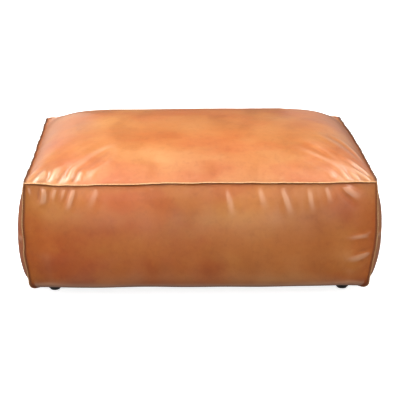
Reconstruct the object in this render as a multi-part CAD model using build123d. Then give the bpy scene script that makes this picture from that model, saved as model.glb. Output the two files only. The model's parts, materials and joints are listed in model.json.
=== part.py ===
"""Rectangular leather ottoman (a block-shaped pouf) on four low bun feet.

The frame is a box of pine rails with corner posts. Serpentine springs hang between two cleats, and
carry an insulator pad, a foam core and a feather topper. Fibre wraps pad the four sides. Five leather
panels are sewn together with their raw edges turned outwards, pulled under the rails and stapled.

Millimetres, +Z up. The origin is on the floor under the centre, -Y is the front and X is the length.
"""

from build123d import *
import math
import os

# Driving dimensions of the sewn cover
SEAM_LENGTH = 1000.0      # between the corner seams, along X
SEAM_DEPTH = 680.0        # between the corner seams, along Y
TOP_SEAM_Z = 356.0        # height of the seam round the top panel
CROWN = 80.0              # rise of the top panel above its seam
SIDE_BULGE = 42.0         # how far each side panel stands out past its seams
LEATHER = 1.5             # thickness of the hide
LIP = 6.0                 # raw seam allowance that stands outside the seam
LIP_ROOT = 1.2            # how far a lip reaches back into its panel
LIP_CORNER_GAP = 7.0      # where a lip stops short of the cover's corner
THREAD_RADIUS = 0.4
THREAD_UP_THE_LIP = 3.0   # distance of the thread line from the seam
THREAD_GAP = 0.05         # between the thread and the lip under it

# Frame
FRAME_LENGTH = 950.0
FRAME_DEPTH = 630.0
FRAME_BOTTOM_Z = 43.0
FRAME_TOP_Z = 205.0
RAIL = 20.0               # thickness of the rails and cleats
POST = 45.0               # square section of the corner posts
CLEAT_HEIGHT = 30.0
CLEAT_TOP_Z = 193.0
BRACE_WIDTH = 40.0
BRACE_HEIGHT = 60.0

# Screws that hold the rails to the posts
SCREW_RADIUS = 2.0
SCREW_HEAD_RADIUS = 4.0
SCREW_LENGTH = 45.0
SCREW_HEAD_DEPTH = 2.2
SCREW_CLEARANCE = 0.1
SCREW_HOLE_PAST = 1.0     # how much deeper a screw's hole is than the screw
SCREW_OFFSET = 8.0        # of a screw from the middle of its post, towards the frame's middle
SCREW_HEIGHTS = (75.0, 170.0)
SCREW_STAGGER = 12.0      # how much higher the short rails' screws are, to pass the long rails'

# Serpentine springs, their clips and the tie wires
SPRING_COUNT = 6
SPRING_SPACING = 145.0
SPRING_WIRE = 1.9         # wire radius
SPRING_BEND = 9.5         # radius of the hairpins
SPRING_RUN = 34.0         # straight stretch between two hairpins
SPRING_HAIRPINS = 29
CLIP_SHEET = 1.5
CLIP_WIDTH = 22.0
CLIP_ROOM = 0.15          # clearance between clip and wire
CLIP_TAIL = 8.0           # how far a clip's base reaches in past the wire
CLIP_ROOF = 3.0           # how far its roof does
TIE_WIRE = 1.2            # wire radius
TIE_WIRE_OFFSETS = (-95.0, 95.0)
TIE_WIRE_GAP = 0.1        # between the tie wires and the springs under them
TIE_WIRE_END_GAP = 1.0    # between a tie wire's end and the rail

# Soft fill
INSULATOR = 3.0
INSULATOR_INSET = 2.0     # from the frame's outline
FOAM_TOP_Z = 336.0
FOAM_EDGE = 12.0
WRAP_INSET = 3.0          # between a wrap and the leather over it
WRAP_GAP = 1.0            # between a wrap and the frame behind it
WRAP_LIFT = 1.5           # between a wrap and the hem under it
TOPPER_INSET = 6.0
TOPPER_EDGE_Z = 352.0
TOPPER_GAP = 0.5          # between the topper and the foam under it

# Underside
HEM = 55.0                # width of leather turned under the frame
HEM_GAP = 0.2             # from the hem's outline to the seams, and half its mitres' gap
DUST_COVER = 0.5
DUST_COVER_INSET = 12.0   # from the frame's outline
STAPLE_CROWN = 10.0
STAPLE_LEG = 9.0
STAPLE_WIRE = 0.9
STAPLE_SPACING = 60.0
STAPLE_SLOT_CLEARANCE = 0.05
STAPLE_SLOT_DEPTH = 1.0   # how far a slot's cutter starts below the staple's crown
LEATHER_STAPLE_INSET = 6.0
COVER_STAPLE_EDGE = 4.0   # from the dust cover's own edge

# Feet
FOOT_TOP_RADIUS = 21.0
FOOT_BELLY_RADIUS = 25.0
FOOT_BASE_RADIUS = 16.0
FOOT_BELLY_AT = 0.52      # height of the belly, as a share of the foot's
FOOT_BASE_TANGENT = (1.6, 0.9)
FOOT_TOP_TANGENT = (-0.55, 1.0)
FOOT_BORE_PAST = 1.0      # how much deeper a foot's bore is than its stud
GLIDE = 3.0               # thickness of the felt glide
GLIDE_INSET = 1.0         # from the foot's base outline
STUD_RADIUS = 4.0
STUD_IN_FOOT = 24.0
STUD_IN_POST = 30.0
STUD_CLEARANCE = 0.1
INSERT_RADIUS = 6.0
INSERT_LENGTH = 22.0
INSERT_FLANGE_RADIUS = 9.0
INSERT_FLANGE = 1.2
INSERT_HOLE_PAST = 0.5    # how much deeper an insert's hole is than the insert
TIP_CLEARANCE = 1.0       # round the stud's end, above the insert
TIP_PAST = 4.0            # beyond the stud's end
STUD_HOLE_RADIUS = 5.5    # through the dust cover

# Degrees of the pillow surfaces: a higher degree is fuller towards its seams
LEVEL_DEGREE = 12
UPRIGHT_DEGREE = 7

half_length = SEAM_LENGTH / 2
half_depth = SEAM_DEPTH / 2
hem_z = FRAME_BOTTOM_Z - LEATHER
dust_z = hem_z - DUST_COVER
foot_height = dust_z
post_x = FRAME_LENGTH / 2 - RAIL - POST / 2
post_y = FRAME_DEPTH / 2 - RAIL - POST / 2
CORNERS = {
    "front_left": (-1, -1),
    "front_right": (1, -1),
    "back_left": (-1, 1),
    "back_right": (1, 1),
}
SIDES = {
    "front": (Vector(0, -1, 0), Vector(1, 0, 0)),
    "back": (Vector(0, 1, 0), Vector(-1, 0, 0)),
    "left": (Vector(-1, 0, 0), Vector(0, -1, 0)),
    "right": (Vector(1, 0, 0), Vector(0, 1, 0)),
}
UP = Vector(0, 0, 1)


def block(x0, x1, y0, y1, z0, z1):
    """An upright box between two corners."""
    centre = ((x0 + x1) / 2, (y0 + y1) / 2, (z0 + z1) / 2)
    return Pos(*centre) * Box(abs(x1 - x0), abs(y1 - y0), abs(z1 - z0))


def bulged_face(corners, outward=UP, bulge=0.0, degrees=(1, 1)):
    """A Bezier patch over four corners, straight along its edges and raised by bulge at its middle."""
    a, b, c, d = corners
    across, along = degrees
    peak = (1 - 2 ** (1 - across)) * (1 - 2 ** (1 - along))
    rise = outward * (bulge / peak) if bulge else Vector(0, 0, 0)
    rows = []
    for i in range(across + 1):
        u = i / across
        row = []
        for j in range(along + 1):
            v = j / along
            point = a * ((1 - u) * (1 - v)) + b * (u * (1 - v)) + c * (u * v) + d * ((1 - u) * v)
            inside = 0 < i < across and 0 < j < along
            row.append(point + rise if inside else point)
        rows.append(row)
    return Face.make_bezier_surface(rows)


def pillow(outer, inner, outward, outer_bulge, inner_bulge, degrees):
    """A closed solid between an outer and an inner patch, joined by four flat side faces."""
    faces = [
        bulged_face(outer, outward, outer_bulge, degrees),
        bulged_face(inner, outward, inner_bulge, degrees if inner_bulge else (1, 1)),
    ]
    for k in range(4):
        n = (k + 1) % 4
        faces.append(bulged_face((outer[k], outer[n], inner[n], inner[k])))
    solid = Solid(Shell(faces))
    return solid if solid.volume > 0 else -solid


def half_size(side):
    """Half the cover's length along a side, and its distance from the centre, both at the seams."""
    return (half_length, half_depth) if side in ("front", "back") else (half_depth, half_length)


def side_quad(side, inset, low, high):
    """Corners of a side's plane, inset from the seams, from low to high."""
    outward, along = SIDES[side]
    half, distance = half_size(side)
    out = outward * (distance - inset)
    reach = along * (half - inset)
    return (
        out - reach + UP * low,
        out + reach + UP * low,
        out + reach + UP * high,
        out - reach + UP * high,
    )


def level_quad(inset, height):
    """Corners of a level rectangle, inset from the cover's seams."""
    x, y = half_length - inset, half_depth - inset
    return tuple(Vector(sx * x, sy * y, height) for sx, sy in ((-1, -1), (1, -1), (1, 1), (-1, 1)))


def bar(start, end, width_axis, width, depth_axis, depth):
    """A box along a line. It spans width and depth from that line, along the two axes given."""
    along = (end - start).normalized()
    middle = (start + end) * 0.5 + width_axis * (width / 2) + depth_axis * (depth / 2)
    plane = Plane(origin=middle, x_dir=along, z_dir=depth_axis.normalized())
    return plane * Box((end - start).length, abs(width), abs(depth))


def top_seam(side):
    """Ends of the seam over a side, short of its corners, and the way that its lips point."""
    outward, along = SIDES[side]
    half, distance = half_size(side)
    reach = along * (half - LIP_CORNER_GAP)
    seam = outward * distance + UP * TOP_SEAM_Z
    return seam - reach, seam + reach, (outward + UP).normalized()


def corner_seam(sx, sy):
    """Ends of an upright seam, short of its corner, and the way that its lips point."""
    foot = Vector(sx * half_length, sy * half_depth, hem_z)
    head = Vector(sx * half_length, sy * half_depth, TOP_SEAM_Z - LIP_CORNER_GAP)
    return foot, head, Vector(sx, sy, 0).normalized()


def lip(seam, towards):
    """A panel's raw edge outside a seam, lying on the panel's own side of it."""
    start, end, out = seam
    side = (towards - out * towards.dot(out)).normalized()
    root = out * -LIP_ROOT
    return bar(start + root, end + root, out, LIP + LIP_ROOT, side, LEATHER)


def thread_pair(seam, towards):
    """The seam's two lines of thread, one on each side of its pair of lips."""
    start, end, out = seam
    side = (towards - out * towards.dot(out)).normalized()
    rods = []
    for sign in (-1, 1):
        offset = out * THREAD_UP_THE_LIP + side * (sign * (LEATHER + THREAD_RADIUS + THREAD_GAP))
        plane = Plane(origin=start + offset, z_dir=end - start)
        rods.append(Solid.make_cylinder(THREAD_RADIUS, (end - start).length, plane))
    return rods


def leather_top():
    """The top panel with a lip along each of its four seams."""
    panel = pillow(
        level_quad(0, TOP_SEAM_Z),
        level_quad(LEATHER, TOP_SEAM_Z - LEATHER),
        UP,
        CROWN,
        CROWN,
        (LEVEL_DEGREE, LEVEL_DEGREE),
    )
    for side in SIDES:
        panel = panel + lip(top_seam(side), UP)
    return panel


def leather_side(side):
    """A side panel with its lips, and the hem that is turned under the frame."""
    outward, along = SIDES[side]
    half, distance = half_size(side)
    inner_low = side_quad(side, LEATHER, hem_z, TOP_SEAM_Z - LEATHER)
    panel = pillow(
        side_quad(side, 0, hem_z, TOP_SEAM_Z),
        inner_low,
        outward,
        SIDE_BULGE,
        SIDE_BULGE,
        (LEVEL_DEGREE, UPRIGHT_DEGREE),
    )
    hem_outer = distance - HEM_GAP
    hem_inner = distance - HEM
    mitre = half - distance - HEM_GAP
    outline = Polyline(
        outward * hem_outer - along * (hem_outer + mitre),
        outward * hem_outer + along * (hem_outer + mitre),
        outward * hem_inner + along * (hem_inner + mitre),
        outward * hem_inner - along * (hem_inner + mitre),
        close=True,
    )
    hem = extrude(Pos(0, 0, hem_z) * make_face(outline), LEATHER, dir=(0, 0, 1))
    panel = panel + with_staple_slots(hem) + lip(top_seam(side), UP * -1)
    for sx, sy in CORNERS.values():
        reach = Vector(sx * half_length, sy * half_depth, 0)
        if reach.dot(outward) > 0:
            # The lip lies on this panel's side of the upright seam, towards the panel's middle.
            panel = panel + lip(corner_seam(sx, sy), outward * reach.dot(outward) - reach)
    return panel


def seam_threads():
    """Thread lines of the four top seams and of the four upright seams."""
    top = [rod for side in SIDES for rod in thread_pair(top_seam(side), UP)]
    upright = []
    for sx, sy in CORNERS.values():
        upright += thread_pair(corner_seam(sx, sy), Vector(sx, 0, 0))
    return Compound(children=top), Compound(children=upright)


def topper():
    """The feather topper: flat below, crowned above."""
    return pillow(
        level_quad(TOPPER_INSET, TOPPER_EDGE_Z),
        level_quad(TOPPER_INSET, FOAM_TOP_Z + TOPPER_GAP),
        UP,
        CROWN,
        0,
        (LEVEL_DEGREE, LEVEL_DEGREE),
    )


def fibre_wrap(side):
    """A side's fibre pad: flat against the frame, bulged outwards, and mitred at its ends."""
    low, high = FRAME_BOTTOM_Z + WRAP_LIFT, FOAM_TOP_Z
    behind = half_length - FRAME_LENGTH / 2 - WRAP_GAP
    return pillow(
        side_quad(side, WRAP_INSET, low, high),
        side_quad(side, behind, low, high),
        SIDES[side][0],
        SIDE_BULGE,
        0,
        (LEVEL_DEGREE, UPRIGHT_DEGREE),
    )


def foam_core():
    """The foam block, with its upright edges rounded."""
    foam = block(
        -FRAME_LENGTH / 2,
        FRAME_LENGTH / 2,
        -FRAME_DEPTH / 2,
        FRAME_DEPTH / 2,
        FRAME_TOP_Z + INSULATOR,
        FOAM_TOP_Z,
    )
    return fillet(foam.edges().filter_by(Axis.Z), FOAM_EDGE)


def screw(head, direction):
    """A countersunk wood screw. Its head lies flush at head, and it points along direction."""
    plane = Plane(origin=head, z_dir=direction)
    shank = Solid.make_cylinder(SCREW_RADIUS, SCREW_LENGTH, plane)
    cone = Solid.make_cone(SCREW_HEAD_RADIUS, SCREW_RADIUS, SCREW_HEAD_DEPTH, plane)
    return shank + cone


def screw_hole(head, direction):
    """The hole that a screw fills, with a little clearance all round."""
    plane = Plane(origin=head, z_dir=direction)
    radius = SCREW_RADIUS + SCREW_CLEARANCE
    shank = Solid.make_cylinder(radius, SCREW_LENGTH + SCREW_HOLE_PAST, plane)
    cone = Solid.make_cone(
        SCREW_HEAD_RADIUS + SCREW_CLEARANCE, radius, SCREW_HEAD_DEPTH + SCREW_CLEARANCE, plane
    )
    return shank + cone


def screw_places():
    """Where each frame screw starts, and its direction: two through each rail at every corner."""
    places = []
    for sx, sy in CORNERS.values():
        for height in SCREW_HEIGHTS:
            through_long = Vector(sx * (post_x - SCREW_OFFSET), sy * FRAME_DEPTH / 2, height)
            through_short = Vector(
                sx * FRAME_LENGTH / 2, sy * (post_y - SCREW_OFFSET), height + SCREW_STAGGER
            )
            places.append((through_long, Vector(0, -sy, 0)))
            places.append((through_short, Vector(-sx, 0, 0)))
    return places


def with_staple_slots(piece):
    """The piece with slots for the staple legs that pass through it."""
    box = piece.bounding_box()
    slots = []
    for place in staple_places():
        for slot in staple_slots(*place):
            middle = slot.center()
            inside = box.min.X < middle.X < box.max.X and box.min.Y < middle.Y < box.max.Y
            top = middle.Z + (STAPLE_LEG + STAPLE_SLOT_DEPTH) / 2
            if inside and top > box.min.Z:
                slots.append(slot)
    return piece - slots if slots else piece


def drilled(wood):
    """The piece of wood with the frame screws' holes cut where they pass through it."""
    box = wood.bounding_box()
    for head, direction in screw_places():
        tip = head + direction * SCREW_LENGTH
        low = Vector(min(head.X, tip.X), min(head.Y, tip.Y), head.Z)
        high = Vector(max(head.X, tip.X), max(head.Y, tip.Y), head.Z)
        apart = (
            low.X > box.max.X or high.X < box.min.X
            or low.Y > box.max.Y or high.Y < box.min.Y
            or low.Z > box.max.Z or high.Z < box.min.Z
        )
        if not apart:
            wood = wood - screw_hole(head, direction)
    return wood


def rail(x0, x1, y0, y1):
    """A rail between two plan corners, with its screw holes and staple slots."""
    return with_staple_slots(drilled(block(x0, x1, y0, y1, FRAME_BOTTOM_Z, FRAME_TOP_Z)))


def frame():
    """The rails, corner posts, spring cleats and the brace across the bottom."""
    x, y = FRAME_LENGTH / 2, FRAME_DEPTH / 2
    low, high = FRAME_BOTTOM_Z, FRAME_TOP_Z
    pieces = {
        "front_rail": rail(-x, x, -y, -y + RAIL),
        "back_rail": rail(-x, x, y - RAIL, y),
        "left_rail": rail(-x, -x + RAIL, -y + RAIL, y - RAIL),
        "right_rail": rail(x - RAIL, x, -y + RAIL, y - RAIL),
        "centre_brace": block(
            -BRACE_WIDTH / 2, BRACE_WIDTH / 2, -y + RAIL, y - RAIL, low, low + BRACE_HEIGHT
        ),
    }
    cleat_x = x - RAIL - POST
    cleat_y = y - RAIL
    cleat_low = CLEAT_TOP_Z - CLEAT_HEIGHT
    pieces["front_cleat"] = block(
        -cleat_x, cleat_x, -cleat_y, -cleat_y + RAIL, cleat_low, CLEAT_TOP_Z
    )
    pieces["back_cleat"] = block(
        -cleat_x, cleat_x, cleat_y - RAIL, cleat_y, cleat_low, CLEAT_TOP_Z
    )
    for name, (sx, sy) in CORNERS.items():
        post = Pos(sx * post_x, sy * post_y, (low + high) / 2) * Box(POST, POST, high - low)
        pieces["corner_post_" + name] = drilled(post) - insert_hole(sx, sy)
    return pieces


def stud_axis(sx, sy, height):
    """A level plane on a foot's axis."""
    return Plane(origin=(sx * post_x, sy * post_y, height), z_dir=(0, 0, 1))


def insert_hole(sx, sy):
    """The stepped hole under a corner post, for the threaded insert and the end of the stud."""
    plane = stud_axis(sx, sy, FRAME_BOTTOM_Z)
    sleeve = Solid.make_cylinder(
        INSERT_RADIUS + STUD_CLEARANCE, INSERT_LENGTH + INSERT_HOLE_PAST, plane
    )
    flange = Solid.make_cylinder(INSERT_FLANGE_RADIUS + STUD_CLEARANCE, INSERT_FLANGE, plane)
    tip = Solid.make_cylinder(STUD_RADIUS + TIP_CLEARANCE, STUD_IN_POST + TIP_PAST, plane)
    return sleeve + flange + tip


def threaded_insert(sx, sy):
    """A flanged insert nut in the bottom of a post."""
    plane = stud_axis(sx, sy, FRAME_BOTTOM_Z)
    sleeve = Solid.make_cylinder(INSERT_RADIUS, INSERT_LENGTH, plane)
    flange = Solid.make_cylinder(INSERT_FLANGE_RADIUS, INSERT_FLANGE, plane)
    bore = Solid.make_cylinder(STUD_RADIUS + STUD_CLEARANCE, INSERT_LENGTH, plane)
    return sleeve + flange - bore


def foot(sx, sy):
    """A turned bun foot, flat above and below, with a blind bore for its stud."""
    belly_z = FOOT_BELLY_AT * foot_height
    base_z = GLIDE
    profile = Polyline(
        (0, base_z),
        (FOOT_BASE_RADIUS, base_z),
    )
    curve = Spline(
        (FOOT_BASE_RADIUS, base_z),
        (FOOT_BELLY_RADIUS, belly_z),
        (FOOT_TOP_RADIUS, foot_height),
        tangents=[FOOT_BASE_TANGENT, FOOT_TOP_TANGENT],
    )
    closing = Polyline((FOOT_TOP_RADIUS, foot_height), (0, foot_height), (0, base_z))
    outline = Plane.XZ * make_face(profile + curve + closing)
    bun = revolve(outline, Axis.Z)
    bore_depth = STUD_IN_FOOT + FOOT_BORE_PAST
    bore = Solid.make_cylinder(
        STUD_RADIUS + STUD_CLEARANCE,
        bore_depth,
        Plane(origin=(0, 0, foot_height - bore_depth), z_dir=(0, 0, 1)),
    )
    return Pos(sx * post_x, sy * post_y, 0) * (bun - bore)


def foot_stud(sx, sy):
    """The steel stud that joins a foot to its insert."""
    length = STUD_IN_FOOT + (FRAME_BOTTOM_Z - foot_height) + STUD_IN_POST
    plane = stud_axis(sx, sy, foot_height - STUD_IN_FOOT)
    return Solid.make_cylinder(STUD_RADIUS, length, plane)


def foot_glide(sx, sy):
    """The felt disc under a foot."""
    return Solid.make_cylinder(FOOT_BASE_RADIUS - GLIDE_INSET, GLIDE, stud_axis(sx, sy, 0))


def spring_z():
    """Height of the springs' wire centre, on the base of their clips."""
    return CLEAT_TOP_Z + CLIP_SHEET + CLIP_ROOM + SPRING_WIRE


def serpentine_spring(x):
    """A flat serpentine spring from cleat to cleat: cross runs joined by hairpins."""
    pitch = 2 * SPRING_BEND
    start_y = -SPRING_HAIRPINS * pitch / 2
    z = spring_z()
    half_run = SPRING_RUN / 2
    pieces = []
    for k in range(SPRING_HAIRPINS + 1):
        y = start_y + k * pitch
        side = 1 if k % 2 == 0 else -1
        pieces.append(Line((x - side * half_run, y, z), (x + side * half_run, y, z)))
        if k < SPRING_HAIRPINS:
            pieces.append(
                ThreePointArc(
                    (x + side * half_run, y, z),
                    (x + side * (half_run + SPRING_BEND), y + pitch / 2, z),
                    (x + side * half_run, y + pitch, z),
                )
            )
    path = Wire([edge for piece in pieces for edge in piece.edges()])
    start = Plane(origin=(x - half_run, start_y, z), z_dir=(1, 0, 0))
    return sweep(start * Circle(SPRING_WIRE), path=path)


def spring_clip(x, sy):
    """A bent sheet-steel clip that holds the end run of a spring on its cleat."""
    end_y = sy * SPRING_HAIRPINS * SPRING_BEND
    inner = SPRING_WIRE + CLIP_ROOM
    low = CLEAT_TOP_Z
    top = low + CLIP_SHEET + 2 * inner
    outer_wall = end_y + sy * inner
    tail = end_y - sy * CLIP_TAIL
    roof_end = end_y - sy * CLIP_ROOF
    base = block(x - CLIP_WIDTH / 2, x + CLIP_WIDTH / 2, outer_wall, tail, low, low + CLIP_SHEET)
    wall = block(
        x - CLIP_WIDTH / 2,
        x + CLIP_WIDTH / 2,
        outer_wall,
        outer_wall + sy * CLIP_SHEET,
        low,
        top + CLIP_SHEET,
    )
    roof = block(
        x - CLIP_WIDTH / 2, x + CLIP_WIDTH / 2, outer_wall, roof_end, top, top + CLIP_SHEET
    )
    return base + wall + roof


def spring_deck():
    """The springs by number, their clips, and the tie wires that cross them."""
    first = -(SPRING_COUNT - 1) / 2 * SPRING_SPACING
    places = [first + k * SPRING_SPACING for k in range(SPRING_COUNT)]
    pieces = {f"spring_{k + 1}": serpentine_spring(x) for k, x in enumerate(places)}
    clips = [spring_clip(x, sy) for x in places for sy in (-1, 1)]
    pieces["spring_clips"] = Compound(children=clips)
    tie_z = spring_z() + SPRING_WIRE + TIE_WIRE + TIE_WIRE_GAP
    tie_length = FRAME_LENGTH - 2 * (RAIL + TIE_WIRE_END_GAP)
    ties = []
    for y in TIE_WIRE_OFFSETS:
        plane = Plane(origin=(-tie_length / 2, y, tie_z), z_dir=(1, 0, 0))
        ties.append(Solid.make_cylinder(TIE_WIRE, tie_length, plane))
    pieces["tie_wires"] = Compound(children=ties)
    return pieces


def insulator_pad():
    """The pad between the springs and the foam, resting on the rails."""
    x = FRAME_LENGTH / 2 - INSULATOR_INSET
    y = FRAME_DEPTH / 2 - INSULATOR_INSET
    return block(-x, x, -y, y, FRAME_TOP_Z, FRAME_TOP_Z + INSULATOR)


def dust_cover():
    """The black cloth under the frame, with a hole for each foot's stud."""
    x = FRAME_LENGTH / 2 - DUST_COVER_INSET
    y = FRAME_DEPTH / 2 - DUST_COVER_INSET
    cloth = block(-x, x, -y, y, dust_z, hem_z)
    for sx, sy in CORNERS.values():
        cloth = cloth - Solid.make_cylinder(STUD_HOLE_RADIUS, DUST_COVER, stud_axis(sx, sy, dust_z))
    slots = [slot for place in cover_staple_places() for slot in staple_slots(*place)]
    return cloth - slots


def staple_row(inset, crown_z):
    """Places round the underside at one inset from the frame's outline, clear of the feet."""
    places = []
    for length, distance, along_x in (
        (FRAME_LENGTH, FRAME_DEPTH / 2 - inset, True),
        (FRAME_DEPTH, FRAME_LENGTH / 2 - inset, False),
    ):
        span = length - 2 * (RAIL + POST) - STAPLE_SPACING
        count = math.floor(span / STAPLE_SPACING) + 1
        for k in range(count):
            at = (k - (count - 1) / 2) * STAPLE_SPACING
            for side in (-1, 1):
                x, y = (at, side * distance) if along_x else (side * distance, at)
                places.append((x, y, along_x, crown_z))
    return places


def leather_staple_places():
    """The row through the leather's hem."""
    return staple_row(LEATHER_STAPLE_INSET, hem_z)


def cover_staple_places():
    """The row through the dust cover and the hem."""
    return staple_row(DUST_COVER_INSET + COVER_STAPLE_EDGE, dust_z)


def staple_places():
    """Both rows: the leather's and the dust cover's."""
    return leather_staple_places() + cover_staple_places()


def staple_ends(x, y, along_x):
    """Plan positions of a staple's two legs."""
    offset = (STAPLE_CROWN - STAPLE_WIRE) / 2
    return [(x + s * offset, y) if along_x else (x, y + s * offset) for s in (-1, 1)]


def staple(x, y, along_x, crown_z):
    """A staple with its crown under crown_z and its legs driven upwards."""
    half, thick = STAPLE_CROWN / 2, STAPLE_WIRE / 2
    dx, dy = (half, thick) if along_x else (thick, half)
    body = block(x - dx, x + dx, y - dy, y + dy, crown_z - STAPLE_WIRE, crown_z)
    for lx, ly in staple_ends(x, y, along_x):
        low, high = crown_z - STAPLE_WIRE, crown_z + STAPLE_LEG
        body = body + block(lx - thick, lx + thick, ly - thick, ly + thick, low, high)
    return body


def staple_slots(x, y, along_x, crown_z):
    """Slots for a staple's two legs, with a little clearance."""
    half = STAPLE_WIRE / 2 + STAPLE_SLOT_CLEARANCE
    high = crown_z + STAPLE_LEG + STAPLE_SLOT_CLEARANCE
    return [
        block(lx - half, lx + half, ly - half, ly + half, crown_z - STAPLE_SLOT_DEPTH, high)
        for lx, ly in staple_ends(x, y, along_x)
    ]


def all_pieces():
    """Every sub-part by its node name."""
    pieces = {"leather_top": leather_top()}
    for side in SIDES:
        pieces["leather_" + side] = leather_side(side)
        pieces["fibre_wrap_" + side] = fibre_wrap(side)
    pieces["top_seam_thread"], pieces["corner_seam_thread"] = seam_threads()
    pieces["feather_topper"] = topper()
    pieces["foam_core"] = foam_core()
    pieces["insulator_pad"] = insulator_pad()
    pieces.update(spring_deck())
    pieces.update(frame())
    pieces["frame_screws"] = Compound(children=[screw(*place) for place in screw_places()])
    pieces["dust_cover"] = dust_cover()
    pieces["leather_staples"] = Compound(children=[staple(*p) for p in leather_staple_places()])
    pieces["dust_cover_staples"] = Compound(children=[staple(*p) for p in cover_staple_places()])
    for name, (sx, sy) in CORNERS.items():
        pieces["foot_" + name] = foot(sx, sy)
        pieces["foot_stud_" + name] = foot_stud(sx, sy)
        pieces["threaded_insert_" + name] = threaded_insert(sx, sy)
        pieces["glide_" + name] = foot_glide(sx, sy)
    return pieces


def main():
    os.makedirs("parts", exist_ok=True)
    for name, shape in all_pieces().items():
        export_step(shape, f"parts/{name}.step")


main()
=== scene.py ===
"""Looks of the leather ottoman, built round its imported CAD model. Metres, +Z up, -Y is the front."""

import json
import math

import bpy
import numpy as np
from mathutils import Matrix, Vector


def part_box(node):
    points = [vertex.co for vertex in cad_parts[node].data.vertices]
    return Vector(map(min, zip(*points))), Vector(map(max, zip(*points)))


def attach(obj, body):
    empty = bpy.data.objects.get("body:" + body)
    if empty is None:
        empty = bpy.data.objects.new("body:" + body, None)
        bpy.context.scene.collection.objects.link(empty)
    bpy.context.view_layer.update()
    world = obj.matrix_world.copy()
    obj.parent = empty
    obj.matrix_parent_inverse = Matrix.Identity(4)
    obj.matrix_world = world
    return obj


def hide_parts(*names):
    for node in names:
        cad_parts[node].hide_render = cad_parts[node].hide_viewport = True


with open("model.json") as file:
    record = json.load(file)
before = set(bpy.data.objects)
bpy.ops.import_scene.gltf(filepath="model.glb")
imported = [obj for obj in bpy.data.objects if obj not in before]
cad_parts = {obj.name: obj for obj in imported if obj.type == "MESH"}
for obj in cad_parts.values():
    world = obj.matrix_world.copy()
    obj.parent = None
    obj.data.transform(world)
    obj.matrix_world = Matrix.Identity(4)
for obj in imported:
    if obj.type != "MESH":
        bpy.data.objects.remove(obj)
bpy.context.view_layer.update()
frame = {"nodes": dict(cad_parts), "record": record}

# The four sides in turn, each seen from outside with its start on the left
OUT = [np.array(v, float) for v in ((0, -1, 0), (1, 0, 0), (0, 1, 0), (-1, 0, 0))]
ALONG = OUT[1:] + OUT[:1]
SIDE_NAMES = ("front", "right", "back", "left")
PANEL_NAMES = ("top",) + SIDE_NAMES
UP = np.array((0.0, 0.0, 1.0))

# The sewn cover, as in the CAD model
HALF_X = 0.500
HALF_Y = 0.340
HALVES = (HALF_X, HALF_Y, HALF_X, HALF_Y)
DISTANCES = (HALF_Y, HALF_X, HALF_Y, HALF_X)
SEAM_Z = 0.356
BOTTOM_Z = 0.0330
BOTTOM_TUCK = 0.010  # how far inside the seams the bottom edge lies
CORNER_Z = 0.0250
CORNER_ARC = 0.022  # radius where an upright seam rolls under the corner
CORNER_REACH = 0.070  # where the bottom edge comes down to it
HEM_Z = 0.0416
HEM_INSETS = (0.012, 0.024, 0.038, 0.052)
LEATHER = 0.0016

# Fullness of the panels: a higher power stays full nearer to the seams
CROWN = 0.077
CROWN_POWERS = (8.5, 4.2)  # along X and along Y
BULGES = (0.037, 0.035, 0.036, 0.030)
BELLY_POWER = 5.5  # along the side
BELLY_TOP = (3.2, 2.3, 2.8, 2.3)  # upwards
BELLY_FOOT = 5.0  # downwards
TOP_EDGE_POWER = 8  # where the swells die out beside the seams
SIDE_EDGE_POWERS = (8, 6)

# Course of the seams: each top seam's bow, and its lift at stations from -1 to 1
TOP_BOWS = (0.002, 0.004, 0.004, -0.003)
TOP_LIFTS = (
    ((-1, -0.82, -0.5, 0.05, 0.5, 1), (0, -0.006, -0.004, 0.001, -0.001, 0.0)),
    ((-1, -0.6, 0.1, 1), (0, 0.001, 0.005, 0)),
    ((-1, -0.4, 0.3, 1), (0, 0.004, 0.003, 0)),
    ((-1, 0.0, 0.7, 1), (0, 0.001, -0.002, 0)),
)
UPRIGHT_BOW = 0.007
UPRIGHT_BOW_POWER = 0.85  # below 1 it bows out most above the middle
UPRIGHT_TUCK = 0.006  # how far its foot is drawn in
UPRIGHT_TUCK_FROM = 0.62  # share of the way down where that starts
UPRIGHT_Y_SHARE = 0.8  # how much it bows along Y, beside X

# Seeded unevenness, as height, wavelength and seed
TOP_RIPPLE = ((0.0007, 0.075, 11), (0.0004, 0.021, 12))
TOP_RIPPLE_OUT = 0.8  # outwards, beside upwards
UPRIGHT_RIPPLES = [((0.0011, 0.090, 13 + k), (0.0003, 0.024, 17)) for k in range(4)]
BOTTOM_RIPPLE = ((0.0016, 0.20, 21),)
TOP_SWELLS = ((0.0014, 0.42, 31), (0.0003, 0.10, 32))
SIDE_SWELLS = ((0.0014, 0.36, 41), (0.0003, 0.10, 42))
LIP_HEIGHTS = ((0.11, 0.050, 51), (0.07, 0.014, 52))  # as shares of the lip's height
LIP_LEAN = ((0.0010, 0.070, 53), (0.0002, 0.022, 54))
RIPPLE_REACH = 0.013  # how far a seam's waviness reaches into its panels

# Waves that make up the noise
WAVE_COUNT = 24
WAVE_SPREAD = (0.7, 1.5)  # shortest and longest, as shares of the wavelength
WAVE_PEAK = 1.6

# Folds, and the gathers that the stitching draws
FOLD_PEAK = 0.28  # where along it a fold stands highest
FOLD_NARROW = 0.7  # share of its width at its start
FOLD_WIDEN = 0.6  # how much of its width it gains on the way
FOLD_CREASE = 0.35  # depth of the crease beside it, as a share
FOLD_CREASE_AT = 1.55  # widths from its middle
FOLD_CREASE_WIDTH = 0.55
PUCKER_HEIGHT = 0.00055
PUCKER_LENGTH = 0.017
PUCKER_REACH = (0.003, 0.011)  # where the gathers start and die out, from the seam
PUCKER_SEEDS = (33, 43)

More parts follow.
